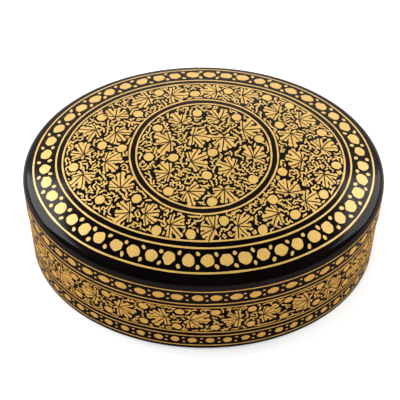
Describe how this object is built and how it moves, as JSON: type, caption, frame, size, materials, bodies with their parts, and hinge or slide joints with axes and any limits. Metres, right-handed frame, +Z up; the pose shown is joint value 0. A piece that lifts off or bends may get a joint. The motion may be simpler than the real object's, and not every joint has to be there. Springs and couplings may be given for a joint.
{
  "type": "lidded box",
  "caption": "Oval lidded box of black lacquered papier mache with gold leaf and dot pattern and a domed lift-off lid.",
  "frame": {"origin": "centre of the underside, on the surface that the box stands on, with the lid closed", "axes": "+Z up along the way the lid lifts, +X along the oval's long axis, +Y along its short axis"},
  "size_m": [0.127, 0.0994, 0.0495],
  "materials": {
    "lid_lacquer": "black lacquer over papier mache, gloss",
    "base_lacquer": "black lacquer over papier mache, gloss",
    "inside_lacquer": "plain black paint under thin varnish, satin",
    "gold_paint": "hand-brushed gold paint under varnish"
  },
  "bodies": {
    "base": {"base_wall": "base_lacquer", "base_floor": "inside_lacquer", "locating_collar": "inside_lacquer"},
    "lid": {"lid_crown": "lid_lacquer", "lid_hoop": "lid_lacquer"}
  },
  "joints": [
    {"name": "lid_lift", "type": "slide", "parent": "base", "child": "lid", "axis": [0, 0, 1], "range_m": [0, 0.08]}
  ]
}
